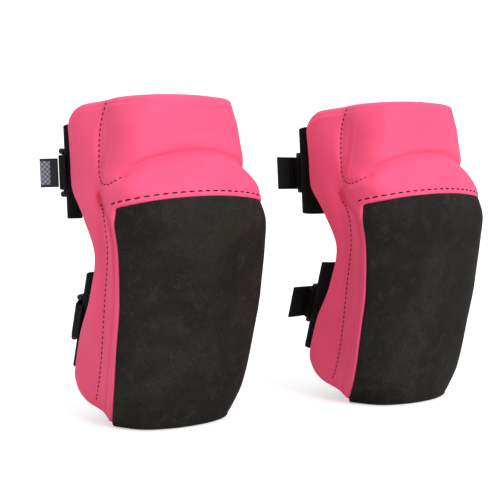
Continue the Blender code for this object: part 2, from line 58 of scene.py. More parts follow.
# z, front y, half width, side y, step in, step y, wing x, wing edge y
STATIONS = np.array([
    (0, -48, 58, 0, 3, 15, 54, 47),
    (30, -52, 70, -21, 3.5, 4, 68, 46),
    (75, -55, 75, -34, 4.5, -7, 70, 34),
    (115, -61, 77, -42, 5.5, -13, 73, 11),
    (150, -69, 79, -44, 6.5, -18, 74, 1),
    (185, -76, 81, -41, 7, -14, 75, 18),
    (212, -70, 77, -37, 5, -6, 74, 38),
    (240, -54, 73, -18, 2.5, -4, 73, 42),
    (290, -51, 58, -15, 0.5, 5, 72, 51),
], float)
HEIGHT = 290.0
TOP_DROP = (10.5, 16.0)
BOTTOM_RISE = (20.0, 20.0)
PANEL_TOP = (203.6, 10.6)
CREASE_DROP = 24.0
BLOCK_SIDE = 3.0
WING_EDGE = 6.0
WALL = 30.0
PANEL = 3.2
PANEL_EDGE = 2.93
PANEL_PROUD = 0.8
PANEL_ROUND = 1.6  # radius of the leather's cut edges
PANEL_BEND = 4.5  # radius where it turns under the bottom
MM_PER_S = 27.0  # one unit of s is about this far along the block's front
PANEL_SEAT = PANEL - PANEL_PROUD + 0.2
FIRM_SHARE = 0.55
CUSHION_HALF = 3.0
SKIN_ROUND = 6.0  # radius of the rim on the outer side
FOOT_BACK = 34.0  # the resting face lies this far in front of the pad's origin


def tangents(knots, values):
    """Slopes of a smooth curve through the rows that never overshoots them."""
    step = np.diff(knots)[:, None]
    slope = np.diff(values, axis=0) / step
    result = np.zeros_like(values)
    result[0], result[-1] = slope[0], slope[-1]
    product = slope[:-1] * slope[1:]
    total = np.where(product > 0, slope[:-1] + slope[1:], 1.0)
    result[1:-1] = np.where(product > 0, 2 * product / total, 0.0)
    return result


ROW_TANGENTS = tangents(STATIONS[:, 0], STATIONS[:, 1:])


def section_values(z):
    """The seven section values at each height."""
    knots, values = STATIONS[:, 0], STATIONS[:, 1:]
    i = np.clip(np.searchsorted(knots, z) - 1, 0, len(knots) - 2)
    step = (knots[i + 1] - knots[i])[:, None]
    t = (z - knots[i])[:, None] / step
    slopes = step * ROW_TANGENTS[i], step * ROW_TANGENTS[i + 1]
    return ((1 + 2 * t) * (1 - t) ** 2 * values[i] + t * (1 - t) ** 2 * slopes[0]
            + t * t * (3 - 2 * t) * values[i + 1] + t * t * (t - 1) * slopes[1])


def smooth_step(low, high, value):
    t = np.clip((value - low) / (high - low), 0.0, 1.0)
    return t * t * (3 - 2 * t)


def section(s, z):
    arch = CREASE_DROP * np.minimum(s / BLOCK_SIDE, 1) ** 2 * (1 - smooth_step(3.4, 4.6, s))
    shifted = z + arch * smooth_step(160, 206, z) * (1 - smooth_step(236, 288, z))
    return section_values(shifted).T


def through(points, s):
    """Catmull-Rom curve through the half section's points, mirrored at the middle."""
    points = np.array(points).transpose(2, 0, 1)
    first = points[:, 1:2] * (-1, 1)
    last = 2 * points[:, -1:] - points[:, -2:-1]
    padded = np.concatenate([first, points, last], axis=1)
    i = np.clip(s.astype(int), 0, points.shape[1] - 2)
    t = (s - i)[:, None]
    row = np.arange(len(s))
    a, b, c, d = (padded[row, i + k] for k in range(4))
    return 0.5 * (2 * b + (c - a) * t + (2 * a - 5 * b + 4 * c - d) * t * t
                  + (3 * b - a - 3 * c + d) * t ** 3)


def both_faces(signed, z):
    """Points on the outer skin, and the points on the leg side that they face."""
    s = np.abs(signed)
    mirror = np.where(signed < 0, -1.0, 1.0)
    front, half, side_y, step_in, step_y, wing_x, edge_y = section(s, z)
    depth = side_y - front
    zero = np.zeros_like(front)
    outer = through([
        (zero, front),
        (0.42 * half, front + 0.07 * depth),
        (0.80 * half, front + 0.34 * depth),
        (half, side_y),
        (half - step_in, step_y),
        ((half - step_in + wing_x) / 2 + 1.5, (step_y + edge_y) / 2),
        (wing_x, edge_y),
    ], s)
    front = front + WALL
    reach = edge_y - front
    waist = np.minimum(half - step_in, wing_x)
    inner = through([
        (zero, front),
        (0.30 * half, front + 0.04 * reach),
        (0.54 * half, front + 0.15 * reach),
        (0.70 * half, front + 0.36 * reach),
        (waist - 13.5, front + 0.60 * reach),
        ((waist + wing_x) / 2 - 11.5, front + 0.80 * reach),
        (wing_x - 10.5, edge_y),
    ], s)
    return (np.stack([mirror * outer[:, 0], outer[:, 1], z], axis=1),
            np.stack([mirror * inner[:, 0], inner[:, 1], z], axis=1))


def base_height(s):
    along = np.maximum(s - BLOCK_SIDE, 0) / (WING_EDGE - BLOCK_SIDE)
    corner = np.maximum(s - 4.6, 0) / 1.4
    return PANEL + BOTTOM_RISE[0] * along + BOTTOM_RISE[1] * corner ** 3


def top_height(s):
    return HEIGHT - TOP_DROP[0] * (s / WING_EDGE) ** 2 - TOP_DROP[1] * np.maximum(s - 5, 0) ** 3


def panel_height(s):
    return PANEL_TOP[0] - PANEL_TOP[1] * np.minimum((s / BLOCK_SIDE) ** 2, 1.5)


# ------------------------------------------------------- seams and relief

def curve(knots, spacing=1.5):
    """Smooth line through (s, z) knots, as dense arrays of s and z."""
    knots = np.array(knots, float)
    padded = np.vstack([2 * knots[0] - knots[1], knots, 2 * knots[-1] - knots[-2]])
    rows = []
    for i in range(len(knots) - 1):
        a, b, c, d = padded[i:i + 4]
        reach = np.hypot((c[0] - b[0]) * 24, c[1] - b[1])
        t = np.arange(0, 1, min(spacing / max(reach, spacing), 1))[:, None]
        rows.append(0.5 * (2 * b + (c - a) * t + (2 * a - 5 * b + 4 * c - d) * t * t
                           + (3 * b - a - 3 * c + d) * t ** 3))
    rows.append(knots[-1:])
    line = np.vstack(rows)
    return line[:, 0], line[:, 1]


# The sewn lines of one side, as (s, z) knots.
THIGH_SEAM = [(3.86, 285), (4.05, 270), (4.1, 255), (4.05, 240), (3.99, 228), (3.93, 222),
              (3.8, 217.5), (3.5, 214.6), (3.15, 213), (2.9, 212.8), (2.65, 215.5),
              (2.38, 219.8)]
CREASE_LINE = [(2.38, 219.8), (2.1, 226.5), (1.7, 232), (1.2, 236.5), (0.6, 240), (0, 241)]
SIDE_GROOVE = [(4.0, 203), (3.75, 194), (3.42, 186), (3.2, 176), (3.2, 160), (3.25, 116),
               (3.28, 73), (3.35, 40), (3.4, 8)]
WING_SEAM = [(3.98, 196), (3.76, 187), (3.72, 177), (3.82, 166), (4.0, 140), (4.0, 113),
             (4.0, 60), (4.12, 33), (4.3, 22)]
PANEL_SEAM_RISE = 3.9


def seam_points(knots):
    """The seam's points on the base skin, for both sides."""
    s, z = curve(knots)
    right = both_faces(s, z)[0]
    return np.vstack([right, right * (-1, 1, 1)])


def nearest(points, line):
    """Distance from each point to the nearest point of a line."""
    result = np.full(len(points), 1e9)
    for start in range(0, len(points), 4000):
        part = points[start:start + 4000]
        gaps = np.linalg.norm(part[:, None] - line[None], axis=2)
        result[start:start + 4000] = gaps.min(axis=1)
    return result


def hump(distance, height, width):
    """A smooth rise at distance zero; a negative height makes a valley."""
    return height * np.exp(-(distance / width) ** 2)


LINES = {name: seam_points(knots) for name, knots in (
    ("thigh", THIGH_SEAM), ("crease", CREASE_LINE), ("groove", SIDE_GROOVE),
    ("wing", WING_SEAM))}
# Height and half width of what stands out of the plain surface or, below zero, sinks in.
THIGH_VALLEY, WING_VALLEY, GROOVE_VALLEY = (-1.8, 3.2), (-1.0, 2.2), (-6.0, 3.4)
CREASE_VALLEY, CREASE_ROLL, CREASE_ROLL_AT = (-2.6, 2.6), (2.6, 6.0), 9.0
PANEL_STITCH_VALLEY, PANEL_LIP, PANEL_LIP_AT = (-0.45, 1.6), (0.9, 1.6), 1.6
WELT_HEIGHT, WELT_HALF = 1.4, 0.09  # the ridge between the panel and the groove
SHOULDER_HEIGHT, THIGH_FILL, WING_FILL = 5.0, 2.2, 1.8
puff_grid = None  # swelling from the cloth simulation, on even steps of s and height


def puff_at(signed, z):
    if puff_grid is None:
        return 0.0
    s = np.abs(signed)
    share = (z - base_height(s)) / (top_height(s) - base_height(s))
    rows, columns = puff_grid.shape
    r = np.clip(share, 0, 1) * (rows - 1)
    c = np.clip((signed + WING_EDGE) / (2 * WING_EDGE), 0, 1) * (columns - 1)
    i, j = np.minimum(r.astype(int), rows - 2), np.minimum(c.astype(int), columns - 2)
    u, v = r - i, c - j
    return ((1 - u) * (1 - v) * puff_grid[i, j] + (1 - u) * v * puff_grid[i, j + 1]
            + u * (1 - v) * puff_grid[i + 1, j] + u * v * puff_grid[i + 1, j + 1])


def ripple(points, scale, seed):
    """Gentle uneven waves, as a hand-sewn cover has."""
    shift = Vector((seed, seed * 0.7, seed * 1.3))
    return np.array([noise.noise(Vector(p) / scale + shift) for p in points])


def relief(base, signed, z):
    """How far the sewn skin stands out of the plain surface."""
    s = np.abs(signed)
    above = z - panel_height(s)
    on_block = 1 - smooth_step(2.9, 3.3, s)
    rim = smooth_step(1, 14, top_height(s) - z) * smooth_step(0, 9, z - base_height(s))
    near = {name: nearest(base, line) for name, line in LINES.items()}

    total = hump(near["thigh"], *THIGH_VALLEY) * rim
    total += hump(near["wing"], *WING_VALLEY) * rim
    deeper_high_up = 0.5 + 0.5 * smooth_step(140, 190, z)
    total += hump(near["groove"], *GROOVE_VALLEY) * deeper_high_up * rim

    # The block rolls out below the crease; above it only the middle does, and less.
    crease_height = np.interp(s, [at for at, _ in CREASE_LINE[::-1]],
                              [high for _, high in CREASE_LINE[::-1]])
    below = smooth_step(-3, 3, crease_height - z)
    rolled = below + (1 - below) * 0.4 * (1 - smooth_step(0.6, 1.6, s))
    total += hump(near["crease"], *CREASE_VALLEY)
    total += (hump(near["crease"] - CREASE_ROLL_AT, *CREASE_ROLL)
              * (1 - smooth_step(2.0, 3.0, s)) * rolled)

    total += hump(above - PANEL_SEAM_RISE, *PANEL_STITCH_VALLEY) * on_block
    total += hump(above - PANEL_LIP_AT, *PANEL_LIP) * on_block
    total += hump(s - PANEL_EDGE - 0.15, WELT_HEIGHT, WELT_HALF) * (
        1 - smooth_step(-8, 0, above))
    total += hump(s - 2.35, SHOULDER_HEIGHT, 0.6) * hump(above - 12, 1, 10)
    total += hump(s - 2.3, THIGH_FILL, 0.7) * smooth_step(226, 240, z) * (
        1 - smooth_step(262, 284, z))
    total += hump(s - 3.8, WING_FILL, 0.4) * smooth_step(225, 250, z)
    return total + puff_at(signed, z)


def edge_gaps(signed, z):
    """Distances from the wing edge, and from the nearer of top and bottom."""
    s = np.abs(signed)
    near, far = both_faces(np.full_like(s, 5.9), z)[0], both_faces(np.full_like(s, 6.0), z)[0]
    per_unit = np.linalg.norm(far - near, axis=1) * 10
    return ((WING_EDGE - s) * per_unit,
            np.minimum(top_height(s) - z, z - base_height(s)))


def layer(signed, z, depth):
    """Points at a depth below the skin, along the rays to the leg side."""
    outer, inner = both_faces(signed, z)
    way = inner - outer
    length = np.linalg.norm(way, axis=1)
    deep = depth(length) if callable(depth) else depth
    return outer + way / length[:, None] * np.broadcast_to(deep, length.shape)[:, None]


def rounded(gap_a, gap_b, radius):
    """Depth of a rounded edge, where two edges may meet in a corner."""
    a, b = np.maximum(radius - gap_a, 0), np.maximum(radius - gap_b, 0)
    share = np.minimum(np.hypot(a, b) / radius, 1)
    return radius * (1 - np.sqrt(1 - share ** 3))


def wall_of(signed, z):
    outer, inner = both_faces(signed, z)
    return np.linalg.norm(inner - outer, axis=1)


def under_panel(signed, z):
    """One under the panel and nothing beside it, with a short slope between."""
    s = np.abs(signed)
    return ((1 - smooth_step(PANEL_EDGE - 0.08, PANEL_EDGE + 0.02, s))
            * (1 - smooth_step(-2.4, -0.2, z - panel_height(s))))


def skin_point(signed, z):
    """The finished outer skin."""
    base = both_faces(signed, z)[0]
    raised = relief(base, signed, z)
    seat = under_panel(signed, z)
    side, end = edge_gaps(signed, z)
    radius = np.minimum(SKIN_ROUND, 0.45 * wall_of(signed, z))
    depth = rounded(side, end, radius) - raised * (1 - seat) + seat * PANEL_SEAT
    return layer(signed, z, depth)


# ------------------------------------------------------------ mesh helpers

def new_object(name, mesh):
    item = bpy.data.objects.new(name, mesh)
    bpy.context.scene.collection.objects.link(item)
    return item


def mesh_from(name, points, faces, uvs=None):
    """A smooth mesh from points in millimetres; uvs are one pair per point, in metres."""
    mesh = bpy.data.meshes.new(name)
    mesh.from_pydata([tuple(p) for p in np.asarray(points) * MM], [], faces)
    if uvs is not None:
        layer_uv = mesh.uv_layers.new(name="UVMap")
        index = np.zeros(len(mesh.loops), int)
        mesh.loops.foreach_get("vertex_index", index)
        layer_uv.data.foreach_set("uv", np.asarray(uvs, np.float32)[index].ravel())
    mesh.validate()
    mesh.shade_smooth()
    return mesh


def grid_faces(rows, columns, offset=0):
    index = np.arange(rows * columns).reshape(rows, columns) + offset
    quads = np.stack([index[:-1, :-1], index[:-1, 1:], index[1:, 1:], index[1:, :-1]], axis=-1)
    return quads.reshape(-1, 4).tolist()


def boundary(rows, columns):
    path = [(0, j) for j in range(columns)]
    path += [(i, columns - 1) for i in range(1, rows)]
    path += [(rows - 1, j) for j in range(columns - 2, -1, -1)]
    path += [(i, 0) for i in range(rows - 2, 0, -1)]
    return path


def band_faces(first, second):
    """Quads between two closed rings of vertex numbers."""
    count = len(first)
    return [[first[(k + 1) % count], first[k], second[k], second[(k + 1) % count]]
            for k in range(count)]


def apply_modifiers(item):
    bpy.context.view_layer.update()
    graph = bpy.context.evaluated_depsgraph_get()
    mesh = bpy.data.meshes.new_from_object(item.evaluated_get(graph))
    item.modifiers.clear()
    item.data = mesh
    mesh.shade_smooth()
    return item


def thicken(item, thickness):
    """A closed sheet: the given surface stays outside."""
    solid = item.modifiers.new("thickness", "SOLIDIFY")
    solid.thickness = thickness * MM
    solid.offset = -1
    solid.use_even_offset = False
    return apply_modifiers(item)


def face_outwards(mesh):
    bm = bmesh.new()
    bm.from_mesh(mesh)
    bmesh.ops.recalc_face_normals(bm, faces=bm.faces)
    bm.to_mesh(mesh)
    bm.free()


# ---------------------------------------------------------------- materials

class Look:
    """A small builder for procedural materials."""

    def __init__(self, name):
        self.material = bpy.data.materials.new(name)
        self.material.use_nodes = True
        self.tree = self.material.node_tree
        self.shader = self.tree.nodes["Principled BSDF"]
        self.place = self.tree.nodes.new("ShaderNodeTexCoord").outputs["Object"]

    def node(self, kind, inputs=None, **properties):
        made = self.tree.nodes.new(kind)
        for key, value in properties.items():
            setattr(made, key, value)
        for key, value in (inputs or {}).items():
            if isinstance(value, bpy.types.NodeSocket):
                self.tree.links.new(value, made.inputs[key])
            else:
                made.inputs[key].default_value = value
        return made

    def link(self, socket, name):
        self.tree.links.new(socket, self.shader.inputs[name])

    def noise(self, scale, detail=2.0, rough=0.5, place=None, distortion=0.0):
        return self.node("ShaderNodeTexNoise", {
            "Vector": place or self.place, "Scale": scale, "Detail": detail,
            "Roughness": rough, "Distortion": distortion}).outputs["Fac"]

    def cells(self, scale, feature="F1", place=None):
        made = self.node("ShaderNodeTexVoronoi",
                         {"Vector": place or self.place, "Scale": scale}, feature=feature)
        return made.outputs["Distance"]

    def math(self, operation, a, b=0.5, c=0.5):
        return self.node("ShaderNodeMath", {0: a, 1: b, 2: c}, operation=operation).outputs[0]

    def ramp(self, value, stops):
        made = self.node("ShaderNodeValToRGB", {"Fac": value})
        while len(made.color_ramp.elements) < len(stops):
            made.color_ramp.elements.new(0.5)
        for element, (at, colour) in zip(made.color_ramp.elements, stops):
            element.position = at
            element.color = (*colour, 1.0)
        return made.outputs["Color"]

    def mix(self, value, first, second, mode="MIX"):
        made = self.node("ShaderNodeMix", data_type="RGBA", blend_type=mode)
        for key, item in ((0, value), (6, first), (7, second)):
            if isinstance(item, bpy.types.NodeSocket):
                self.tree.links.new(item, made.inputs[key])
            else:
                made.inputs[key].default_value = item if key == 0 else (*item, 1.0)
        return made.outputs[2]

    def bump(self, steps):
        """Adds bumps of (height, distance in metres, strength) over each other."""
        normal = None
        for height, distance, strength in steps:
            inputs = {"Height": height, "Distance": distance, "Strength": strength}
            if normal is not None:
                inputs["Normal"] = normal
            normal = self.node("ShaderNodeBump", inputs).outputs["Normal"]
        self.link(normal, "Normal")

    def finish(self, colour, roughness, bumps, inputs=None):
        """Links the results up, sets the shader's other inputs, and gives the material."""
        self.link(colour, "Base Color")
        self.link(roughness, "Roughness")
        for name, value in (inputs or {}).items():
            self.shader.inputs[name].default_value = value
        self.bump(bumps)
        return self.material

    def range(self, value, low, high, from_low=0.0, from_high=1.0):
        return self.node("ShaderNodeMapRange", {
            "Value": value, "From Min": from_low, "From Max": from_high,
            "To Min": low, "To Max": high}).outputs["Result"]

    def woven(self, pitch, place=None):
        """Crossing threads: the higher of two sets of ribs."""
        split = self.node("ShaderNodeSeparateXYZ", {"Vector": place or self.place})
        turns = 2 * pi / pitch
        ribs = []
        for axis in ("X", "Y", "Z") if place is None else ("X", "Y"):
            scaled = self.math("MULTIPLY", split.outputs[axis], turns)
            ribs.append(self.math("SINE", scaled))
        result = ribs[0]
        for other in ribs[1:]:
            result = self.math("MULTIPLY", result, other)
        return result


# Colours are linear. Texture scales are per metre, bump distances in metres.
WEB_RIDGE, WEB_TWILL, WEB_CHEVRON = 0.0016, 0.0021, 0.0032
LABEL_CHECK = 0.0022
LABEL_BORDER = 0.0105  # half width of the checked block
LABEL_HEAD = 0.0075  # plain length at the sewn end


def pink_look():
    look = Look("cover_fabric")
    broad = look.noise(22, 3, 0.55)
    fine = look.noise(420, 3, 0.6)
    tone = look.ramp(broad, [(0.3, (0.865, 0.088, 0.196)), (0.7, (0.920, 0.102, 0.222))])
    tone = look.mix(look.range(fine, 0.0, 0.14), tone, (0.60, 0.045, 0.115))
    return look.finish(
        tone, look.range(look.noise(60, 4), 0.52, 0.68),
        [(look.woven(0.0011), 0.0002, 0.25), (fine, 0.0003, 0.22), (broad, 0.003, 0.06)],
        {"Sheen Weight": 0.05, "Sheen Roughness": 0.5, "Sheen Tint": (1.0, 0.45, 0.60, 1.0),
         "Specular IOR Level": 0.16})


def leather_look():
    look = Look("nubuck_leather")
    cloud = look.noise(15, 6, 0.66, distortion=0.5)
    patch = look.noise(70, 6, 0.70, distortion=0.8)
    worn = look.noise(190, 5, 0.75, distortion=1.5)
    speckle = look.noise(360, 3, 0.6)
    grain = look.cells(900, "SMOOTH_F1")
    nap = look.noise(700, 4, 0.7)
    tone = look.ramp(cloud, [(0.32, (0.0060, 0.0052, 0.0040)), (0.50, (0.0118, 0.0102, 0.0080)),
                             (0.66, (0.0225, 0.0192, 0.0152))])
    for share, colour in (
            (look.range(patch, 0.0, 0.75, 0.52, 0.72), (0.038, 0.033, 0.027)),
            (look.range(worn, 0.0, 0.5, 0.62, 0.76), (0.062, 0.054, 0.045)),
            (look.range(speckle, 0.0, 0.55, 0.50, 0.66), (0.006, 0.0052, 0.0044)),
            (look.range(nap, 0.0, 0.35), (0.005, 0.0045, 0.004))):
        tone = look.mix(share, tone, colour)
    return look.finish(
        tone, look.range(patch, 0.60, 0.92),
        [(cloud, 0.004, 0.15), (patch, 0.0014, 0.35), (grain, 0.0006, 0.45),
         (nap, 0.0003, 0.5)],
        {"Specular IOR Level": 0.16})


def thread_look(name, dark, light):
    look = Look(name)
    twist = look.noise(1600, 2)
    return look.finish(look.ramp(twist, [(0.35, dark), (0.7, light)]),
                       look.range(twist, 0.5, 0.75), [(twist, 0.0002, 0.5)],
                       {"Specular IOR Level": 0.12})


def strip_place(look):
    """A strip's UV map, with its distances along and across the strip."""
    uv = look.node("ShaderNodeUVMap", uv_map="UVMap").outputs["UV"]
    split = look.node("ShaderNodeSeparateXYZ", {"Vector": uv})
    return uv, split.outputs["X"], split.outputs["Y"]


def webbing_look():
    look = Look("webbing_weave")
    _, along, across = strip_place(look)
    ridge = look.math("SINE", look.math("MULTIPLY", across, 2 * pi / WEB_RIDGE))
    zigzag = look.math("PINGPONG", across, WEB_CHEVRON)
    diagonal = look.math("SINE", look.math(
        "MULTIPLY", look.math("ADD", along, zigzag), 2 * pi / WEB_TWILL))
    weave = look.math("ADD", look.math("MULTIPLY", ridge, 0.35), diagonal)
    fuzz = look.noise(1500, 3)
    tone = look.ramp(look.range(weave, 0, 1, -1.3, 1.3),
                     [(0.1, (0.0012, 0.0015, 0.0013)), (0.9, (0.0052, 0.0060, 0.0054))])
    tone = look.mix(look.range(fuzz, 0.0, 0.4), tone, (0.0028, 0.0031, 0.0028))
    return look.finish(tone, look.range(fuzz, 0.55, 0.8),
                       [(weave, 0.0004, 0.5), (fuzz, 0.0002, 0.3)],
                       {"Specular IOR Level": 0.18})


def band_look():
    look = Look("band_knit")
    knit = look.woven(0.0019, strip_place(look)[0])
    fuzz = look.noise(900, 4, 0.65)
    tone = look.ramp(fuzz, [(0.3, (0.0018, 0.0022, 0.0019)), (0.75, (0.0062, 0.0070, 0.0062))])
    return look.finish(
        tone, look.range(fuzz, 0.7, 0.95),
        [(look.noise(45, 3), 0.002, 0.15), (knit, 0.0004, 0.4), (fuzz, 0.0003, 0.35)],
        {"Sheen Weight": 0.01, "Specular IOR Level": 0.16})


def lining_look():
    look = Look("lining_mesh")
    holes = look.cells(420, "F1")
    fuzz = look.noise(900, 3)
    tone = look.ramp(holes, [(0.15, (0.006, 0.006, 0.007)), (0.55, (0.030, 0.031, 0.034))])
    return look.finish(
        look.mix(look.range(fuzz, 0, 0.3), tone, (0.05, 0.05, 0.055)),
        look.range(fuzz, 0.75, 0.95),
        [(look.noise(30, 2), 0.003, 0.12), (holes, 0.0008, 0.5), (fuzz, 0.0002, 0.3)],
        {"Sheen Weight": 0.15})


def foam_look(name, dark, light, scale):
    look = Look(name)
    pores = look.cells(scale, "SMOOTH_F1")
    cloud = look.noise(40, 3)
    tone = look.ramp(pores, [(0.1, dark), (0.5, light)])
    return look.finish(look.mix(look.range(cloud, 0, 0.35), tone, dark),
                       look.range(pores, 0.75, 0.95),
                       [(pores, 0.0008, 0.6), (cloud, 0.002, 0.1)])


def plastic_look():
    look = Look("moulded_plastic")
    sand = look.noise(1400, 3)
    cloud = look.noise(70, 4)
    tone = look.ramp(cloud, [(0.3, (0.0030, 0.0036, 0.0034)), (0.75, (0.0065, 0.0075, 0.0070))])
    rub = look.range(look.noise(260, 5, 0.7), 0.0, 0.5, 0.62, 0.8)
    return look.finish(look.mix(rub, tone, (0.016, 0.017, 0.0165)),
                       look.range(cloud, 0.34, 0.52),
                       [(sand, 0.00012, 0.35), (cloud, 0.0006, 0.08)],
                       {"Specular IOR Level": 0.32})


def gel_look():
    look = Look("sealed_gel")
    cloud = look.noise(35, 3)
    tone = look.ramp(cloud, [(0.3, (0.035, 0.070, 0.165)), (0.75, (0.060, 0.110, 0.230))])
    return look.finish(tone, look.range(cloud, 0.22, 0.36),
                       [(look.cells(160), 0.0008, 0.2), (cloud, 0.002, 0.15)])


def label_look():
    """Plain woven tab: a dark ground with a checked block in greys."""
    look = Look("woven_label")
    uv, along, across = strip_place(look)
    checks = look.node("ShaderNodeTexChecker", {
        "Vector": uv, "Scale": 1 / LABEL_CHECK,
        "Color1": (0.30, 0.29, 0.36, 1.0), "Color2": (0.085, 0.085, 0.12, 1.0)})
    weave = look.woven(0.0007, uv)
    inner = look.math("MULTIPLY",
                      look.math("LESS_THAN", look.math("ABSOLUTE", across), LABEL_BORDER),
                      look.math("GREATER_THAN", along, LABEL_HEAD))
    tone = look.mix(inner, (0.008, 0.009, 0.014), checks.outputs["Color"])
    tone = look.mix(look.range(weave, 0.0, 0.35), tone, (0.02, 0.02, 0.03))
    return look.finish(tone, look.range(weave, 0.6, 0.85),
                       [(weave, 0.0003, 0.5), (look.noise(900, 3), 0.0002, 0.3)])


LOOKS = {
    "cover": pink_look(),
    "leather": leather_look(),
    "thread": thread_look("dark_thread", (0.003, 0.0006, 0.0014), (0.012, 0.0025, 0.005)),
    "strap_thread": thread_look("strap_thread", (0.008, 0.009, 0.008), (0.030, 0.032, 0.030)),
    "webbing": webbing_look(),
    "band": band_look(),
    "lining": lining_look(),
    "firm_foam": foam_look("firm_foam", (0.10, 0.10, 0.11), (0.17, 0.17, 0.18), 700),
    "soft_foam": foam_look("soft_foam", (0.55, 0.53, 0.46), (0.78, 0.76, 0.69), 450),
    "gel": gel_look(),
    "plastic": plastic_look(),
    "label": label_look(),
}


def dress(item, look):
    item.data.materials.clear()
    item.data.materials.append(LOOKS[look])
    return item


# ------------------------------------------------------------------ threads

def unit(ways):
    return ways / np.linalg.norm(ways, axis=1, keepdims=True)


def stitches(name, line, out, length, gap, radius, look="thread"):
    """Single stitches along a line of points; out holds the way out of the cloth."""
    line, out = np.asarray(line, float), unit(np.asarray(out, float))
    steps = np.linalg.norm(np.diff(line, axis=0), axis=1)
    run = np.concatenate([[0], np.cumsum(steps)])
    count = int((run[-1] + gap) // (length + gap))
    start = (run[-1] - (count * (length + gap) - gap)) / 2
    shares = np.array([0.0, 0.14, 0.38, 0.62, 0.86, 1.0])
    heights = np.array([-0.55, 0.15, 0.62, 0.62, 0.15, -0.55]) * radius
    widths = np.array([0.45, 0.85, 1.0, 1.0, 0.85, 0.45]) * radius
    turn = np.arange(6) * pi / 3
    points, faces = [], []
    for k in range(count):
        at = start + k * (length + gap) + shares * length
        centre = np.stack([np.interp(at, run, line[:, c]) for c in range(3)], axis=1)
        away = np.stack([np.interp(at, run, out[:, c]) for c in range(3)], axis=1)
        across = unit(np.cross(unit(np.gradient(centre, axis=0)), away))
        first = len(points)
        for i in range(len(shares)):
            middle = centre[i] + away[i] * heights[i]
            for a in turn:
                points.append(middle + widths[i] * (cos(a) * across[i] + sin(a) * away[i]))
        for i in range(len(shares) - 1):
            for a in range(6):
                b = (a + 1) % 6
                faces.append([first + i * 6 + a, first + i * 6 + b,
                              first + (i + 1) * 6 + b, first + (i + 1) * 6 + a])
        faces.append([first + a for a in range(6)][::-1])
        faces.append([first + (len(shares) - 1) * 6 + a for a in range(6)])
    mesh = mesh_from(name, points, faces)
    face_outwards(mesh)
    return dress(new_object(name, mesh), look)


def skin_normals(signed, z):
    """Ways out of the finished skin, by small steps along it."""
    ds, dz = 0.03, 1.0
    along = skin_point(signed + ds, z) - skin_point(signed - ds, z)
    up = skin_point(signed, z + dz) - skin_point(signed, z - dz)
    way = unit(np.cross(along, up))
    outward = both_faces(signed, z)
    facing = np.sum(way * (outward[0] - outward[1]), axis=1)
    return way * np.where(facing < 0, -1.0, 1.0)[:, None]


# ------------------------------------------------------------------- shell

def even(low, high, step):
    return np.linspace(low, high, max(int(round((high - low) / step)), 1) + 1)


def fine_columns():
    half = np.concatenate([even(0, 2.7, 0.09), even(2.74, 4.3, 0.04), even(4.38, 5.5, 0.09),
                           [5.57, 5.64, 5.7, 5.76, 5.81, 5.86, 5.9, 5.94, 5.97, 6.0]])
    return np.concatenate([-half[:0:-1], half])


def fine_rows():
    """Shares of the height, closer together at the ends and by the panel's top."""
    near = np.array([0, 0.2, 0.6, 1.2, 2.0, 3.0, 4.4, 6.0])
    middle = np.concatenate([even(8, 188, 2.4), even(189.4, 240, 1.4), even(242, 281, 2.0)])
    return np.concatenate([near, middle, 287 - near[::-1]]) / 287


def shell_grid(columns, shares):
    s, share = np.meshgrid(columns, shares)
    a = np.abs(s)
    z = base_height(a) + share * (top_height(a) - base_height(a))
    return s.ravel(), z.ravel(), s.shape


def inset(signed, z, gap, on_leg_side):
    """Moves (s, z) in from the shell's edges by a gap, without bunching at corners."""
    s = np.abs(signed)
    face = 1 if on_leg_side else 0
    near = both_faces(np.full_like(s, 5.9), z)[face]
    far = both_faces(np.full_like(s, 6.0), z)[face]
    per_unit = np.maximum(np.linalg.norm(far - near, axis=1) * 10, 6)
    moved = s * (1 - gap / per_unit / WING_EDGE)
    share = (z - base_height(s)) / (top_height(s) - base_height(s))
    low, high = base_height(moved) + gap, top_height(moved) - gap
    return np.where(signed < 0, -moved, moved), low + share * (high - low)


def cover_mesh():
    """Skin, rounded rim and a hem on the leg side, as one open surface."""
    signed, z, shape = shell_grid(fine_columns(), fine_rows())
    points = [skin_point(signed, z)]
    faces = grid_faces(*shape)
    path = boundary(*shape)
    edge = np.array([i * shape[1] + j for i, j in path])
    ring_s, ring_z = signed[edge], z[edge]
    wall = wall_of(ring_s, ring_z)
    start, end = np.minimum(SKIN_ROUND, 0.45 * wall), np.minimum(4.0, 0.35 * wall)
    previous = edge.tolist()
    count = len(signed)
    rings = []
    for t in (0.12, 0.3, 0.5, 0.7, 0.88):
        rings.append((-1.1 * sin(pi * t), start + t * (wall - start - end)))
    rings.append((0.0, wall - end))
    for turn in (30, 60, 90):
        a = radians(turn)
        rings.append((4.0 * (1 - cos(a)), wall - end + end * sin(a)))
    rings += [(5.5, wall + 0.3), (7.0, wall + 0.25), (8.2, wall - 0.4), (8.8, wall - 1.8)]
    for gap, depth in rings:
        moved_s, moved_z = inset(ring_s, ring_z, gap, gap > 0)
        share = depth / wall
        points.append(layer(moved_s, moved_z, lambda length, k=share: k * length))
        current = list(range(count, count + len(path)))
        count += len(path)
        faces += band_faces(previous, current)
        previous = current
    return mesh_from("cover", np.vstack(points), faces)


def slab(name, shape, front, back):
    """A closed sheet between two faces of the same grid."""
    count = len(front)
    faces = grid_faces(*shape)
    faces += [face[::-1] for face in grid_faces(*shape, offset=count)]
    edge = [i * shape[1] + j for i, j in boundary(*shape)]
    faces += band_faces(edge, [k + count for k in edge])
    mesh = mesh_from(name, np.vstack([front, back]), faces)
    face_outwards(mesh)
    return mesh


def by_cushion(signed, z):
    s = np.abs(signed)
    return ((1 - smooth_step(1.0, 1.6, s)) * smooth_step(52, 72, z)
            * (1 - smooth_step(148, 168, z)))


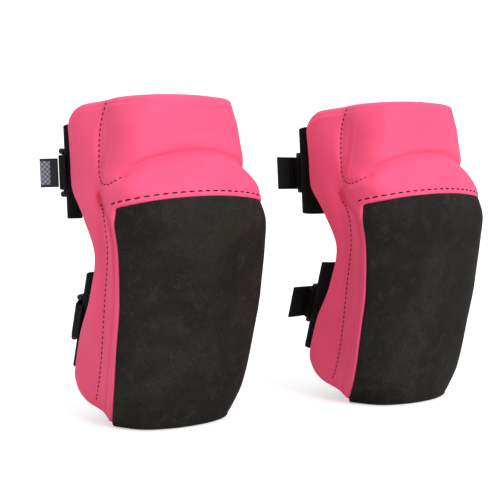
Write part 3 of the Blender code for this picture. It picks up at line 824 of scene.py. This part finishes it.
def foam_meshes():
    signed, z, shape = shell_grid(even(-WING_EDGE, WING_EDGE, 0.16), even(0, 1, 0.018))
    signed, z = inset(signed, z, 5.0, False)
    base = both_faces(signed, z)[0]
    raised = relief(base, signed, z) * (1 - under_panel(signed, z))
    side, end = edge_gaps(signed, z)
    round_front = rounded(side - 5, end - 5, 3.0)
    seat = under_panel(signed, z) * PANEL_SEAT
    swell = CUSHION_HALF * by_cushion(signed, z)
    front = layer(signed, z, seat - raised + round_front + 2.6)
    middle = layer(signed, z, lambda w: FIRM_SHARE * w - 0.2 - swell)
    behind = layer(signed, z, lambda w: FIRM_SHARE * w + 0.2 + swell)
    back = layer(signed, z, lambda w: w - 2.4 - 0.6 * round_front)
    return (slab("firm_foam", shape, front, middle),
            slab("soft_foam", shape, behind, back))


def cushion_mesh():
    """A sealed lens with a flat welded rim."""
    turn, out = np.meshgrid(np.linspace(0, 2 * pi, 49)[:-1], np.linspace(0.02, 1, 12))
    signed, z = 1.05 * out * np.cos(turn), 110 + 44 * out * np.sin(turn)
    signed, z, out = signed.ravel(), z.ravel(), out.ravel()
    lift = (CUSHION_HALF - 0.5) * np.sqrt(np.maximum(1 - (out / 0.93) ** 2, 0)) + 0.3
    front = layer(signed, z, lambda w: FIRM_SHARE * w - lift)
    back = layer(signed, z, lambda w: FIRM_SHARE * w + lift)
    count, faces = len(signed), []
    for offset, flip in ((0, False), (count, True)):
        for i in range(11):
            for j in range(48):
                quad = [i * 48 + j, i * 48 + (j + 1) % 48,
                        (i + 1) * 48 + (j + 1) % 48, (i + 1) * 48 + j]
                quad = [k + offset for k in quad]
                faces.append(quad[::-1] if flip else quad)
        cap = [j + offset for j in range(48)]
        faces.append(cap if flip else cap[::-1])
    rim = [11 * 48 + j for j in range(48)]
    faces += band_faces(rim, [k + count for k in rim])
    mesh = mesh_from("knee_cushion", np.vstack([front, back]), faces)
    face_outwards(mesh)
    return mesh


def lining_mesh():
    """The inner cloth, gently swollen between its stitched edge and two sewn lines."""
    signed, z, shape = shell_grid(even(-WING_EDGE, WING_EDGE, 0.1), even(0, 1, 0.0125))
    signed, z = inset(signed, z, 7.4, True)
    side, end = edge_gaps(signed, z)
    edge = np.minimum(side, end)
    s = np.abs(signed)
    swell = 1.0 * smooth_step(7, 26, edge)
    swell = swell - 1.5 * np.exp(-((s - 3.05) / 0.12) ** 2) * smooth_step(12, 30, end)
    tuck = 1.2 * (1 - smooth_step(7.4, 10, edge))
    front = layer(signed, z, lambda w: w + swell - tuck)
    back = layer(signed, z, lambda w: w - 1.8 + 0.2 * swell - 0.5 * tuck)
    return slab("lining", shape, back, front)


def panel_mesh():
    """Leather over the block, turned under the bottom edge, as one open sheet."""
    to_edge = np.array([0.26, 0.20, 0.14, 0.10, 0.065, 0.04, 0.02, 0.005, 0])
    half = np.concatenate([even(0, 2.6, 0.1), PANEL_EDGE - to_edge])
    columns = np.concatenate([-half[:0:-1], half])
    gap_side = (PANEL_EDGE - np.abs(columns)) * MM_PER_S
    side_round = rounded(gap_side, np.full_like(columns, 99), PANEL_ROUND)
    low = np.full_like(columns, PANEL + 0.01)
    rows = []
    for share in np.linspace(1, 0.2, 9):  # the flange, from the heel forward
        flat = layer(columns, low, lambda w, k=share: k * w)
        flat[:, 2] = 0.0
        rows.append(flat)
    for turn in (0, 22, 45, 68, 90):  # round the bottom edge
        a = radians(turn)
        point = layer(columns, low,
                      side_round * 0.7 - PANEL_PROUD + PANEL_BEND * (1 - sin(a)))
        point[:, 2] = PANEL_BEND * (1 - cos(a))
        rows.append(point)
    top = panel_height(np.abs(columns))
    for share in np.concatenate([even(0.035, 0.97, 0.012), [0.98, 0.988, 0.994, 0.998, 1.0]]):
        z = share * top
        height = np.maximum(z, PANEL + 0.01)
        gap_top = top - z
        depth = rounded(gap_side, gap_top, PANEL_ROUND) - PANEL_PROUD
        waves = ripple(both_faces(columns, height)[0], 38, 4.0)
        inside = smooth_step(0, 12, np.minimum(gap_top, gap_side))
        point = layer(columns, height, depth - 0.35 * waves * inside)
        point[:, 2] = z
        rows.append(point)
    return mesh_from("front_panel", np.vstack(rows), grid_faces(len(rows), len(columns)))


def turned_to_front(mesh):
    """Flips an open sheet whose faces look inwards."""
    total = sum(face.normal.y * face.area for face in mesh.polygons)
    if total > 0:
        mesh.flip_normals()
    return mesh


def swell_by_cloth():
    """Cloth under pressure, held at the seams; keeps how far it moved outwards."""
    columns, shares = even(-WING_EDGE, WING_EDGE, 0.2), even(0, 1, 1 / 56)
    signed, z, shape = shell_grid(columns, shares)
    base = both_faces(signed, z)[0]
    start = layer(signed, z, rounded(*edge_gaps(signed, z), 4.0))
    item = new_object("swelling_cloth", turned_to_front(
        mesh_from("swelling_cloth", start, grid_faces(*shape))))
    side, end = edge_gaps(signed, z)
    held = under_panel(signed, z) > 0.5
    held |= np.minimum(side, end) < 3.0
    held |= nearest(base, LINES["thigh"]) < 3.2
    held |= nearest(base, LINES["wing"]) < 3.2
    held |= nearest(base, LINES["groove"]) < 3.2
    group = item.vertex_groups.new(name="held")
    group.add([int(k) for k in np.flatnonzero(held)], 1.0, "REPLACE")
    cloth = item.modifiers.new("cloth", "CLOTH")
    cloth.settings.quality = 6
    cloth.settings.mass = 0.3
    cloth.settings.tension_stiffness = 40
    cloth.settings.compression_stiffness = 40
    cloth.settings.bending_stiffness = 2.0
    cloth.settings.vertex_group_mass = "held"
    cloth.settings.use_pressure = True
    cloth.settings.uniform_pressure_force = 4.0
    cloth.settings.effector_weights.gravity = 0.0
    cloth.point_cache.frame_start, cloth.point_cache.frame_end = 1, 20
    scene = bpy.context.scene
    for step in range(1, 21):
        scene.frame_set(step)
    graph = bpy.context.evaluated_depsgraph_get()
    moved = item.evaluated_get(graph).to_mesh()
    co = np.zeros(len(moved.vertices) * 3)
    moved.vertices.foreach_get("co", co)
    co = co.reshape(-1, 3) / MM
    normals = np.zeros(len(item.data.vertices) * 3)
    item.data.vertices.foreach_get("normal", normals)
    out = np.sum((co - start) * normals.reshape(-1, 3), axis=1).reshape(shape)
    scene.frame_set(1)
    bpy.data.objects.remove(item, do_unlink=True)
    return np.clip(out, -1.0, 2.6)


PAD_PLACES = {}
for mount in record["mounts"]:
    x, y, _ = mount["pos_m"]
    PAD_PLACES[mount["name"].split("_")[0]] = Vector((x, y + FOOT_BACK * MM, 0))


def attach(item, matrix, body, replaced=()):
    """Moves a finished piece to its place and sets it on its body."""
    item.data.transform(matrix)
    if matrix.determinant() < 0:  # the right pad's straps are mirrored
        item.data.flip_normals()
    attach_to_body(item, body)
    if replaced:
        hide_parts(*replaced)
    return item


def build_shell_meshes():
    meshes = {}
    holder = new_object("cover_work", turned_to_front(cover_mesh()))
    meshes["cover"] = thicken(holder, 1.5).data
    bpy.data.objects.remove(holder)
    holder = new_object("panel_work", turned_to_front(panel_mesh()))
    meshes["front_panel"] = thicken(holder, 2.4).data
    for vertex in meshes["front_panel"].vertices:  # it lies flat on the floor
        vertex.co.z = max(vertex.co.z, 0.0)
    bpy.data.objects.remove(holder)
    meshes["firm_foam"], meshes["soft_foam"] = foam_meshes()
    meshes["knee_cushion"] = cushion_mesh()
    meshes["lining"] = lining_mesh()
    return meshes


SHELL_LOOKS = {"cover": "cover", "front_panel": "leather", "firm_foam": "firm_foam",
               "soft_foam": "soft_foam", "knee_cushion": "gel", "lining": "lining"}


def add_shells():
    meshes = build_shell_meshes()
    for side in SIDES:
        body = f"{side}_pad"
        for piece, look in SHELL_LOOKS.items():
            node = f"{side}_{piece}"
            item = dress(new_object(f"{node}_soft", meshes[piece].copy()), look)
            attach(item, Matrix.Translation(PAD_PLACES[side]), body, [node])
        add_shell_threads(side, body)


def add_shell_threads(side, body):
    lines = []
    for mirror, end in ((-1, "outer" if side == "left" else "inner"),
                        (1, "inner" if side == "left" else "outer")):
        s, z = curve(THIGH_SEAM, 1.0)
        lines.append((f"{side}_thigh_thread_{end}", mirror * s, z, 3.2, 1.5, 0.42))
        s, z = curve(WING_SEAM, 1.0)
        lines.append((f"{side}_wing_thread_{end}", mirror * s, z, 3.2, 1.5, 0.42))
    s = even(-3.12, 3.12, 0.04)
    lines.append((f"{side}_panel_thread", s, panel_height(np.abs(s)) + PANEL_SEAM_RISE,
                  6.0, 2.2, 0.60))
    for name, s, z, length, gap, radius in lines:
        item = stitches(name, skin_point(s, z), skin_normals(s, z), length, gap, radius)
        attach(item, Matrix.Translation(PAD_PLACES[side]), body)


# ------------------------------------------------------------------- straps

STRAPS = {
    "upper": {"place": (0, 61, 223), "lean": -4.0, "tab_x": 69.0, "seat_x": 54.8,
              "tail": 85.0, "half": 42.0},
    "lower": {"place": (0, 50, 91), "lean": 16.0, "tab_x": 62.0, "seat_x": 53.8,
              "tail": 77.0, "half": 45.0},
}
for shape in STRAPS.values():
    corner = shape["tab_x"]
    shape["bar"] = (13.0 - corner, 6.2)
    shape["anchor_bar"] = (5.0 - corner, 3.2)
    shape["socket_end"] = corner - 6.0
    shape["band"] = (21.0 - corner, corner - 43.0)
BAND_THICK = 3.4
TAB_DEPTH = 30.0
TAB_FLARE = (-18.5, -9.5)
TAB_CORNER = 6.0
TAB_RAISE = 4.0
WEB_HALF = 16.0
WEB_THICK = 1.6
WEB_Y = 10.5
LOOP_ROOM = 1.35 + 0.5 + WEB_THICK / 2
CLIP_LOW, CLIP_HIGH = 2.6, 7.2
SOCKET_BAR = 2.6
LABEL_HALF = 13.0
LABEL_THICK = 1.0


def arc(centre, radius, start, end, count):
    turns = np.radians(np.linspace(start, end, count))
    return [(centre[0] + radius * cos(t), centre[1] + radius * sin(t)) for t in turns]


def resample(path, step):
    """Even points along a path, with its corners eased."""
    path = np.array(path, float)
    run = np.concatenate([[0], np.cumsum(np.linalg.norm(np.diff(path, axis=0), axis=1))])
    count = max(int(run[-1] / step), 2)
    at = np.linspace(0, run[-1], count + 1)
    points = np.stack([np.interp(at, run, path[:, k]) for k in range(2)], axis=1)
    for _ in range(3):
        points[1:-1] = 0.25 * points[:-2] + 0.5 * points[1:-1] + 0.25 * points[2:]
    return points


def strip_mesh(name, path, half, thickness, step=1.5, profile=None, slant=None):
    """A flat strip on edge: rounded selvedges, closed ends, and a UV map in metres."""
    points = resample(path, step)
    along = unit(np.gradient(points, axis=0))
    across = np.stack([-along[:, 1], along[:, 0]], axis=1)
    run = np.concatenate([[0], np.cumsum(np.linalg.norm(np.diff(points, axis=0), axis=1))])
    edge = thickness / 2
    flat = np.concatenate([half - edge * (1 - np.cos(np.radians([0, 30, 60, 80]))),
                           even(half - edge - 1, -(half - edge - 1), 3.0),
                           -(half - edge * (1 - np.cos(np.radians([80, 60, 30, 0]))))])
    loop_z = np.concatenate([flat, flat[-2:0:-1]])
    side = np.concatenate([np.ones(len(flat)), -np.ones(len(flat) - 2)])
    near = half - np.abs(loop_z)
    lens = np.sqrt(np.clip(1 - (np.maximum(edge - near, 0) / edge) ** 2, 0, 1))
    bulk = np.ones_like(loop_z) if profile is None else profile(np.abs(loop_z))
    offsets = side * edge * lens * bulk
    ring = len(loop_z)
    rows, uvs = [], []
    last = len(points) - 1
    for k, point in enumerate(points):
        end = min(k, last - k)
        close = 0.45 if end == 0 else 1.0
        z = loop_z if slant is None else loop_z + slant(run[k] / run[-1], loop_z)
        off = offsets * close
        x = point[0] + across[k, 0] * off
        y = point[1] + across[k, 1] * off
        rows.append(np.stack([x, y, z], axis=1))
        uvs.append(np.stack([np.full(ring, run[k] * MM), loop_z * MM], axis=1))
    faces = []
    for k in range(last):
        a, b = k * ring, (k + 1) * ring
        faces += [[a + i, a + (i + 1) % ring, b + (i + 1) % ring, b + i] for i in range(ring)]
    for offset, flip in ((0, True), (last * ring, False)):  # flat ends as strips of quads
        for i in range(len(flat) - 1):
            quad = [i, i + 1, (ring - i - 1) % ring, (ring - i) % ring]
            quad = [offset + k for k in dict.fromkeys(quad)]
            faces.append(quad if flip else quad[::-1])
    mesh = mesh_from(name, np.vstack(rows), faces, np.vstack(uvs))
    face_outwards(mesh)
    return mesh


def strap_matrix(side, level):
    """From the strap's own millimetre frame to the row frame, in metres."""
    shape = STRAPS[level]
    return (Matrix.Translation(PAD_PLACES[side] + Vector(shape["place"]) * MM)
            @ Matrix.Rotation(radians(shape["lean"]), 4, "X")
            @ Matrix.Diagonal((SIDES[side], 1, 1, 1)))


def put_strap(name, mesh, side, level, look, body, replaced=()):
    item = dress(new_object(name, mesh), look)
    return attach(item, strap_matrix(side, level), body, replaced)


def band_profile(half):
    """Plush in the middle, pressed flat along the bound edges."""
    return lambda z: (1.12 - 0.42 * smooth_step(half - 8, half - 5, z)
                      + 0.12 * smooth_step(half - 3.5, half - 1.5, z))


def tab_path(shape, end, sign):
    side_x = shape["tab_x"] - BAND_THICK / 2
    back_y = -BAND_THICK / 2
    path = [(shape["seat_x"], -TAB_DEPTH), (shape["seat_x"], TAB_FLARE[0]),
            (side_x, TAB_FLARE[1])]
    path += arc((side_x - TAB_CORNER, back_y - TAB_CORNER), TAB_CORNER, 0, 90, 8)
    path += [(abs(end), back_y)]
    return [(sign * x, y) for x, y in path]


def tab_slant(share, z):
    """The tabs run up a little towards the pad."""
    return TAB_RAISE * (1 - smooth_step(0.0, 0.7, np.full_like(z, share)))


def edge_threads(name, path, z, lift, side, level, body, slant=None,
                 length=2.6, gap=1.6, radius=0.34):
    """A row of stitches along both edges of a strip, on its outward face."""
    points = resample(path, 1.5)
    along = unit(np.gradient(points, axis=0))
    out = np.stack([-along[:, 1], along[:, 0]], axis=1)
    if out[len(out) // 2, 1] < 0:
        out = -out
    spots = points + out * lift
    for end, height in (("top", z), ("bottom", -z)):
        share = np.linspace(0, 1, len(spots))
        rise = 0.0 if slant is None else np.array([slant(at, np.array([height]))[0]
                                                   for at in share])
        line = np.column_stack([spots, height + rise * np.ones(len(spots))])
        away = np.column_stack([out, np.zeros(len(spots))])
        item = stitches(f"{name}_{end}", line, away, length, gap, radius, "strap_thread")
        attach(item, strap_matrix(side, level), body)


def webbing_path(shape):
    bar_x, bar_y = shape["bar"]
    path = [(bar_x + 12, bar_y + 1.0), (bar_x + 6.5, bar_y - 1.2)]
    path += arc((bar_x, bar_y), LOOP_ROOM, 285, 100, 14)
    path += [(bar_x + 7, WEB_Y - 1.1), (bar_x + 18, WEB_Y - 0.4), (bar_x + 28, WEB_Y)]
    path += [(shape["tail"], WEB_Y)]
    return path


def add_bands(name, shape, side, level):
    """The comfort band's middle, which swings, and its two tabs, sewn to the pad."""
    half, (start, end) = shape["half"], shape["band"]
    middle = [(start, -BAND_THICK / 2), (end, -BAND_THICK / 2)]
    for piece, path, body, slant in (
            ("band_outer_tab", tab_path(shape, start - 2, -1), f"{side}_pad", tab_slant),
            ("band_inner_tab", tab_path(shape, end + 2, 1), f"{side}_pad", tab_slant),
            ("band", middle, f"{name}_strap", None)):
        mesh = strip_mesh(piece, path, half, BAND_THICK, profile=band_profile(half),
                          slant=slant)
        item = put_strap(f"{name}_{piece}_soft", mesh, side, level, "band", body,
                         [f"{name}_{piece}"])
        edge_threads(f"{name}_{piece}_thread", path, half - 5.5, 1.35, side, level, body, slant)


def add_webbing(name, shape, side, level):
    """The webbing with its folded hem, and two rows of stitches across the hem."""
    body, tail, hem_y = f"{name}_strap", shape["tail"], WEB_Y - WEB_THICK + 0.1
    mesh = strip_mesh("webbing", webbing_path(shape), WEB_HALF, WEB_THICK, step=1.2)
    put_strap(f"{name}_webbing_soft", mesh, side, level, "webbing", body,
              [f"{name}_webbing"])
    mesh = strip_mesh("hem", [(tail - 15, hem_y), (tail, hem_y)], WEB_HALF - 0.4,
                      WEB_THICK - 0.2, step=1.2)
    put_strap(f"{name}_webbing_hem", mesh, side, level, "webbing", body)
    for k, x in enumerate((tail - 13.0, tail - 3.0)):
        line = [(x, WEB_Y + WEB_THICK / 2, z) for z in np.linspace(-14, 14, 24)]
        item = stitches(f"{name}_hem_thread_{k}", line, [(0, 1, 0)] * 24, 2.2, 1.2, 0.34,
                        "strap_thread")
        attach(item, strap_matrix(side, level), body)


def adjuster_anchor_path(shape):
    bar_x, bar_y = shape["anchor_bar"]
    face_x = -shape["tab_x"] - 0.3 - WEB_THICK / 2
    return arc((bar_x, bar_y), LOOP_ROOM, -40, 180, 14) + [
        (face_x - 1.6, bar_y - 4.6), (face_x, bar_y - 10), (face_x, TAB_FLARE[1] - 0.6)]


def clip_anchor_path(shape):
    stop = shape["socket_end"]
    room = 0.5 + WEB_THICK / 2
    near, far = stop - SOCKET_BAR - room, stop + room
    foot = 0.3 + WEB_THICK / 2
    return [(near - 3, foot), (near - 1, foot), (near, foot + 1.1), (near, CLIP_HIGH),
            (near + 1, CLIP_HIGH + room), (far - 1, CLIP_HIGH + room), (far, CLIP_HIGH),
            (far, CLIP_LOW), (far + 1.2, foot - 0.4)]


def add_strap(side, level):
    shape, name = STRAPS[level], f"{side}_{level}"
    add_bands(name, shape, side, level)
    add_webbing(name, shape, side, level)
    for piece, path, step in (("adjuster_anchor", adjuster_anchor_path(shape), 1.0),
                              ("clip_anchor", clip_anchor_path(shape), 0.8)):
        mesh = strip_mesh(piece, path, WEB_HALF - 0.5, WEB_THICK, step=step)
        put_strap(f"{name}_{piece}_soft", mesh, side, level, "webbing", f"{side}_pad",
                  [f"{name}_{piece}"])
    for piece in ("adjuster", "clip_socket", "clip_plug", "clip_arm_top", "clip_arm_bottom"):
        dress(frame["nodes"][f"{name}_{piece}"], "plastic")


def add_label():
    shape = STRAPS["upper"]
    bar_x, bar_y = shape["anchor_bar"]
    path = [(bar_x - 6.6, bar_y - 1.0), (bar_x - 14, bar_y + 1.8), (bar_x - 22, bar_y + 4.8)]
    mesh = strip_mesh("label", path, LABEL_HALF, LABEL_THICK, step=0.8)
    put_strap("left_label_woven", mesh, "left", "upper", "label", "left_pad",
              ["left_label"])


# --------------------------------------------------- floor, light and camera

AMBIENT = 0.70
BACKDROP = 1.4  # what the camera sees past the floor
KEY = 2.15
TOP = 0.55
FLOOR_GLOW = 0.5  # lifts the floor towards the white of the backdrop


def add_floor():
    mesh = bpy.data.meshes.new("floor")
    reach = 12.0
    mesh.from_pydata([(-reach, -reach, 0), (reach, -reach, 0), (reach, reach, 0),
                      (-reach, reach, 0)], [], [(0, 1, 2, 3)])
    floor = new_object("floor", mesh)
    floor.location.z = -0.0005
    look = Look("studio_floor")
    tone = look.ramp(look.noise(3.0, 3), [(0.3, (0.70, 0.70, 0.70)), (0.7, (0.72, 0.72, 0.72))])
    look.link(tone, "Base Color")
    look.shader.inputs["Roughness"].default_value = 0.9
    look.shader.inputs["Specular IOR Level"].default_value = 0.0
    look.shader.inputs["Emission Color"].default_value = (1, 1, 1, 1)
    seen = look.node("ShaderNodeLightPath").outputs["Is Camera Ray"]
    look.link(look.math("MULTIPLY", seen, FLOOR_GLOW), "Emission Strength")
    mesh.materials.append(look.material)


def add_sun(name, towards, strength, spread):
    """A soft light from one direction, so that the whole floor is lit alike."""
    light = bpy.data.lights.new(name, "SUN")
    light.energy = strength
    light.angle = radians(spread)
    lamp = bpy.data.objects.new(name, light)
    lamp.location = towards
    lamp.rotation_euler = Vector(towards).to_track_quat("Z", "Y").to_euler()
    bpy.context.scene.collection.objects.link(lamp)


def add_light():
    world = bpy.data.worlds.new("studio")
    bpy.context.scene.world = world
    world.use_nodes = True
    tree = world.node_tree
    background = tree.nodes["Background"]
    background.inputs["Color"].default_value = (1, 1, 1, 1)
    background.inputs["Strength"].default_value = AMBIENT
    backdrop = tree.nodes.new("ShaderNodeBackground")
    backdrop.inputs["Color"].default_value = (1, 1, 1, 1)
    backdrop.inputs["Strength"].default_value = BACKDROP
    seen = tree.nodes.new("ShaderNodeLightPath")
    mix = tree.nodes.new("ShaderNodeMixShader")
    tree.links.new(seen.outputs["Is Camera Ray"], mix.inputs[0])
    tree.links.new(background.outputs[0], mix.inputs[1])
    tree.links.new(backdrop.outputs[0], mix.inputs[2])
    tree.links.new(mix.outputs[0], tree.nodes["World Output"].inputs["Surface"])
    add_sun("key", (0.02, -0.92, 0.60), KEY, 32)
    add_sun("top", (0.15, 0.30, 1.0), TOP, 60)


def add_camera():
    data = bpy.data.cameras.new("camera")
    data.lens = 84.74
    data.sensor_width = 36.0
    camera = bpy.data.objects.new("camera", data)
    camera.location = (-0.7371, -0.8360, 0.2239)
    camera.rotation_euler = (radians(86.183), 0.0, radians(-39.93))
    bpy.context.scene.collection.objects.link(camera)
    bpy.context.scene.camera = camera


def main():
    global puff_grid
    scene = bpy.context.scene
    scene.view_settings.view_transform = "Standard"
    scene.view_settings.look = "None"
    puff_grid = swell_by_cloth()
    add_shells()
    for side in SIDES:
        for level in LEVELS:
            add_strap(side, level)
    add_label()
    add_floor()
    add_light()
    add_camera()


main()
